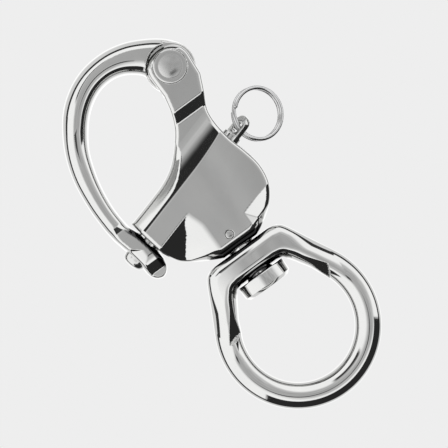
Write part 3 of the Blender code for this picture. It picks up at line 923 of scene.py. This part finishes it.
def make_bail(material):
    """The bail, with painted shade round the stud's head and on the boss's end."""
    points, quads, normals = skin(Bail(), (-20.5, -17.8, -5.0), (17.8, 17.8, 5.0))
    x, y, _ = points.T
    # Painted shade: near black by the stud's head and on the boss's end face.
    shade_by_stud_head = (ramp(x, *BAIL_HEAD_PAINTED_SHADE_X) * ramp(-x, *BAIL_HEAD_PAINTED_SHADE_LEFT)
                    * ramp(-np.abs(y), *BAIL_HEAD_PAINTED_SHADE_ASIDE))
    painted_shade = np.maximum(shade_by_stud_head, ramp(-x, *BAIL_FACE_PAINTED_SHADE_LEFT))
    add_mesh("swivel_bail_eye", points, quads, material, "swivel_bail", "bail",
             normals, painted_shade)


# ----------------------------------------------------------- pins and plunger

def make_rivet(material):
    """A rivet with a low domed head in each ear."""
    under = RIVET_TOP - RIVET_HEAD_DEPTH
    head = [(under, RIVET_HEAD_RADIUS), (RIVET_TOP - 0.3, RIVET_HEAD_RADIUS),
            (RIVET_TOP - 0.14, RIVET_HEAD_RADIUS - 0.03),
            (RIVET_TOP - 0.08, RIVET_HEAD_RADIUS - 0.1),
            (RIVET_TOP - 0.06, 3.2), (RIVET_TOP - 0.03, 2.62), (RIVET_TOP - 0.05, 2.5),
            (RIVET_TOP - 0.01, 2.38), (RIVET_TOP, 0.02)]
    half = [(under - 0.02, RIVET_RADIUS)] + head
    profile = [(-x, r) for x, r in half[::-1]] + half
    points, faces = turned(profile)
    add_mesh("domed_rivet", upright(points, HINGE), faces, material, "shackle_body",
             "hinge_rivet")


def make_stud(material):
    """A shank with a chamfered round head."""
    under, end = STUD_HEAD_X
    chamfer = STUD_HEAD_CHAMFER
    profile = ([(STUD_END_X, STUD_RADIUS - 0.4), (STUD_END_X + 0.4, STUD_RADIUS),
                (under - 0.3, STUD_RADIUS), (under, STUD_RADIUS + 0.25)]
               + edge(under, STUD_HEAD_RADIUS, 0.25, -1)
               + [(end - chamfer, STUD_HEAD_RADIUS), (end - 0.1, STUD_HEAD_RADIUS - chamfer),
                  (end, STUD_HEAD_RADIUS - chamfer - 0.15), (end, 0.02)])
    points, faces = turned(profile, 128)
    add_mesh("headed_stud", points, faces, material, "shackle_body", "swivel_stud")


def make_lock_pin(material):
    """A straight pin with rounded ends."""
    radius = LOCK_PIN_RADIUS
    half = LOCK_PIN_HALF
    end = edge(half, radius, 0.2, 1) + [(half + 0.02, 0.02)]
    profile = [(-x, r) for x, r in end[::-1]] + end
    points, faces = turned(profile, 48)
    add_mesh("cross_pin", upright(points, LOCK_PIN), faces, material, "shackle_body",
             "stud_lock_pin")


def plunger_field(x, y, z):
    """Pin, rod and flattened eye about X, in the plunger's own frame."""
    radial = np.hypot(y, z)
    pin = common(radial - pin_radius(x), -PIN_LENGTH_IN_BARREL - x, 0.3)
    dome = np.sqrt((x - PIN_TIP + PIN_DOME_RADIUS) ** 2 + radial ** 2) - PIN_DOME_RADIUS
    pin = common(pin, dome, 0.8)
    rod = common(radial - ROD_RADIUS, x, 0.1)
    end = np.hypot(x - ROD_END - ROD_TIP_SETBACK, radial) - ROD_TIP_RADIUS
    rod = common(rod, np.where(x < ROD_END + ROD_TIP_SETBACK, end, radial - ROD_RADIUS), 0.1)
    solid = np.minimum(pin, rod)
    c, s = math.cos(EYE_TURN), math.sin(EYE_TURN)
    through_eye = -s * y + c * z
    aside = c * y + s * z
    flats = common(EYE_HALF - np.abs(through_eye), x - EYE_START, 0.3)
    hole = np.hypot(x - EYE_CENTRE, aside) - EYE_HOLE_RADIUS
    solid = common(solid, -flats, 0.12)
    return common(solid, -hole, 0.15)


def from_plunger_frame(points):
    """Points about the plunger's axis, moved to their place in plan."""
    c, s = math.cos(PLUNGER_ANGLE), math.sin(PLUNGER_ANGLE)
    return np.stack((MOUTH[0] + c * points[:, 0] - s * points[:, 1],
                     MOUTH[1] + s * points[:, 0] + c * points[:, 1], points[:, 2]), 1)


def make_plunger(material):
    """The pin, rod and eye in one."""
    points, quads, normals = skin(plunger_field, (ROD_END - 0.1, -3.1, -3.1),
                                  (PIN_TIP + 0.1, 3.1, 3.1), FINE_CELL)
    c, s = math.cos(PLUNGER_ANGLE), math.sin(PLUNGER_ANGLE)
    normals = np.stack((c * normals[:, 0] - s * normals[:, 1],
                        s * normals[:, 0] + c * normals[:, 1], normals[:, 2]), 1)
    add_mesh("plunger_rod", from_plunger_frame(points), quads, material, "plunger",
             "plunger", normals)


def make_spring(material):
    """An evenly wound coil between the pin and the end of its chamber."""
    clearance = SPRING_WIRE_RADIUS + 0.3
    start = -PIN_LENGTH_IN_BARREL - clearance
    end = CHAMBER_END + clearance
    steps = 40 * SPRING_TURNS
    share = np.arange(steps + 1) / steps
    angle = 2 * np.pi * SPRING_TURNS * share
    path = np.stack((start + (end - start) * share, SPRING_MEAN_RADIUS * np.cos(angle),
                     SPRING_MEAN_RADIUS * np.sin(angle)), 1)
    points, faces = tube(path, SPRING_WIRE_RADIUS, 12)
    spring = add_mesh("coil_spring", from_plunger_frame(points), faces, material,
                      "shackle_body", "plunger_spring")
    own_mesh(spring)


def ring_axes():
    """Wire direction in the eye, the way to the ring's centre, and its normal."""
    along = Vector((math.cos(RING_SIDE_SLOPE) * math.cos(RING_HEADING),
                    math.cos(RING_SIDE_SLOPE) * math.sin(RING_HEADING),
                    -math.sin(RING_SIDE_SLOPE)))
    level = Vector((0, 0, 1)).cross(along).normalized()
    outward = Matrix.Rotation(-RING_DROOP, 3, along) @ level
    return np.array(along), np.array(outward), np.array(along.cross(outward))


def make_ring(material):
    """A split ring: two turns, which change level beside the eye."""
    along, outward, normal = ring_axes()
    degrees = RING_START + np.arange(0, 360 * 2 - 9, 3.0)
    middle = RING_START + 360
    lift = ramp(degrees, middle - RING_CROSS_OVER, middle + RING_CROSS_OVER) - 0.5
    angle = np.radians(degrees - 90)[:, None]
    path = (outward * RING_MEAN_RADIUS
            + RING_MEAN_RADIUS * (along * np.cos(angle) + outward * np.sin(angle))
            + normal * RING_PITCH * lift[:, None])
    eye = from_plunger_frame(np.array([[EYE_CENTRE, 0, 0]]))
    points, faces = tube(path + eye, RING_WIRE_RADIUS, 20)
    add_mesh("split_ring", points, faces, material, "ring", "pull_ring")


# --------------------------------------------------------------------- studio

WHITE = 1.32
BACKDROP = 0.855
# Heading, half width, lowest and highest angle from overhead, tone, softness; degrees.
PANELS = [
    (0, 180, 95, 113, 0.05, 1.5),
    (0, 57, 46, 126, 0.03, 1.5),
    (196, 19, 25, 50, 0.03, 4),
    (0, 180, 114, 140, 0.9, 4),
]
# The grey opening overhead: lowest and highest lean, and softness, in degrees.
OPENING_X = (-31, 31, 9)
OPENING_Y = (-13, 62, 12)
OPENING_TONE = 0.53
OPENING_MIDDLE_Y = 14.0
OPENING_FALL = 0.2
OPENING_FALL_X = 32.0
OPENING_FALL_Y = 40.0
CLOUD_SCALE = 9.0
CLOUD_GAIN = 0.7
CLOUD_FLOOR = 0.68
# The thin dark line close to overhead, toward +x.
LINE_X = (4.5, 10.0, 0.8)
LINE_Y = (-7, 7, 2)
LINE_TONE = 0.08


def panel_mask(n, way, degrees, panel):
    """1 in the directions that a panel covers."""
    heading, half, low, high, _, soft = panel
    mask = n.band(degrees, low, high, soft)
    if half >= 180:
        return mask
    turned_way = n.add("ShaderNodeVectorRotate", {"Vector": way,
                                                  "Angle": -math.radians(heading)},
                       rotation_type="Z_AXIS").outputs[0]
    parts = n.add("ShaderNodeSeparateXYZ", {0: turned_way})
    azimuth = n.angle(parts.outputs[1], parts.outputs[0])
    return n.math("MULTIPLY", n.band(azimuth, -half, half, soft), mask)


def opening_tone(n, way, lean_x, lean_y):
    """The opening's grey, lighter to its sides and a little cloudy."""
    from_middle = n.math("SUBTRACT", lean_y, OPENING_MIDDLE_Y)
    aside = n.math("ADD", n.aside(lean_x, OPENING_FALL_X),
                   n.aside(from_middle, OPENING_FALL_Y))
    tone = n.math("MULTIPLY_ADD", aside, OPENING_FALL, OPENING_TONE)
    cloud = n.add("ShaderNodeTexNoise", {"Vector": way, "Scale": CLOUD_SCALE,
                                         "Detail": 1.0}).outputs[0]
    return n.math("MULTIPLY", tone, n.math("MULTIPLY_ADD", cloud, CLOUD_GAIN, CLOUD_FLOOR))


def studio_light():
    """A white tent: a grey opening and a thin dark line above, a dark horizon and panels."""
    world = bpy.data.worlds.new("studio")
    bpy.context.scene.world = world
    world.use_nodes = True
    tree = world.node_tree
    tree.nodes.clear()
    n = Nodes(tree)
    way = n.add("ShaderNodeTexCoord").outputs["Generated"]
    split = n.add("ShaderNodeSeparateXYZ", {0: way})
    polar = n.math("ARCCOSINE", split.outputs[2])
    degrees = n.math("MULTIPLY", polar, 180 / math.pi)
    light = WHITE
    for panel in PANELS:
        light = n.blend(panel_mask(n, way, degrees, panel), light, panel[4])
    lean_x = n.angle(split.outputs[0], split.outputs[2])
    lean_y = n.angle(split.outputs[1], split.outputs[2])
    opening = n.math("MULTIPLY", n.band(lean_x, *OPENING_X), n.band(lean_y, *OPENING_Y))
    light = n.blend(opening, light, opening_tone(n, way, lean_x, lean_y))
    line = n.math("MULTIPLY", n.band(lean_x, *LINE_X), n.band(lean_y, *LINE_Y))
    light = n.blend(line, light, LINE_TONE)
    camera_ray = n.add("ShaderNodeLightPath").outputs["Is Camera Ray"]
    background = n.add("ShaderNodeBackground", {"Color": (1, 1, 1, 1),
                                                "Strength": n.blend(camera_ray, light,
                                                                    BACKDROP)})
    n.add("ShaderNodeOutputWorld", {"Surface": background.outputs[0]})


FLOOR_HALF = 3.0
FLOOR_DROP = 0.0003
CAMERA_PLACE = (0.00014, -0.00169, 0.4556)
CAMERA_LENS = 171.0
CAMERA_TURN = math.radians(54)


def floor():
    """A pale floor that the camera sees and the steel doesn't reflect."""
    size = FLOOR_HALF
    mesh = bpy.data.meshes.new("floor")
    mesh.from_pydata([(-size, -size, 0), (size, -size, 0), (size, size, 0),
                      (-size, size, 0)], [], [(0, 1, 2, 3)])
    material = bpy.data.materials.new("pale floor")
    material.use_nodes = True
    tree = material.node_tree
    tree.nodes.clear()
    n = Nodes(tree)
    glow = n.add("ShaderNodeEmission", {"Color": (1, 1, 1, 1), "Strength": BACKDROP})
    n.add("ShaderNodeOutputMaterial", {"Surface": glow.outputs[0]})
    mesh.materials.append(material)
    plane = bpy.data.objects.new("floor", mesh)
    plane.location.z = -FLOOR_DROP
    plane.visible_glossy = False
    plane.visible_diffuse = False
    bpy.context.scene.collection.objects.link(plane)


def camera():
    """Straight down over the middle, turned so that the bail is at the lower right."""
    data = bpy.data.cameras.new("camera")
    data.lens = CAMERA_LENS
    data.sensor_width = 36.0
    data.clip_start = 0.01
    cam = bpy.data.objects.new("camera", data)
    cam.location = CAMERA_PLACE
    cam.rotation_euler = (0, 0, CAMERA_TURN)
    bpy.context.scene.collection.objects.link(cam)
    bpy.context.scene.camera = cam


def main():
    """Steels, pieces, studio and camera."""
    polished = steel("polished stainless", colour=(0.66, 0.66, 0.65), roughness=0.05,
                     stretch=(1, 1, 1), scratch=0.0, haze=0.03, waves=0.6)
    ground = steel("ground stainless", colour=(0.62, 0.62, 0.61), roughness=0.14,
                   stretch=(1, 1, 0.2), scratch=0.15, haze=0.05, waves=0.3)
    wire = steel("spring steel", colour=(0.6, 0.6, 0.6), roughness=0.12,
                 stretch=(1, 1, 1), scratch=0.1, haze=0.05, waves=0.2)
    make_body(polished)
    make_arm(polished)
    make_bail(polished)
    make_rivet(ground)
    make_stud(polished)
    make_lock_pin(ground)
    make_plunger(ground)
    make_spring(wire)
    make_ring(wire)
    studio_light()
    floor()
    camera()
    bpy.context.scene.view_settings.view_transform = "Standard"


main()
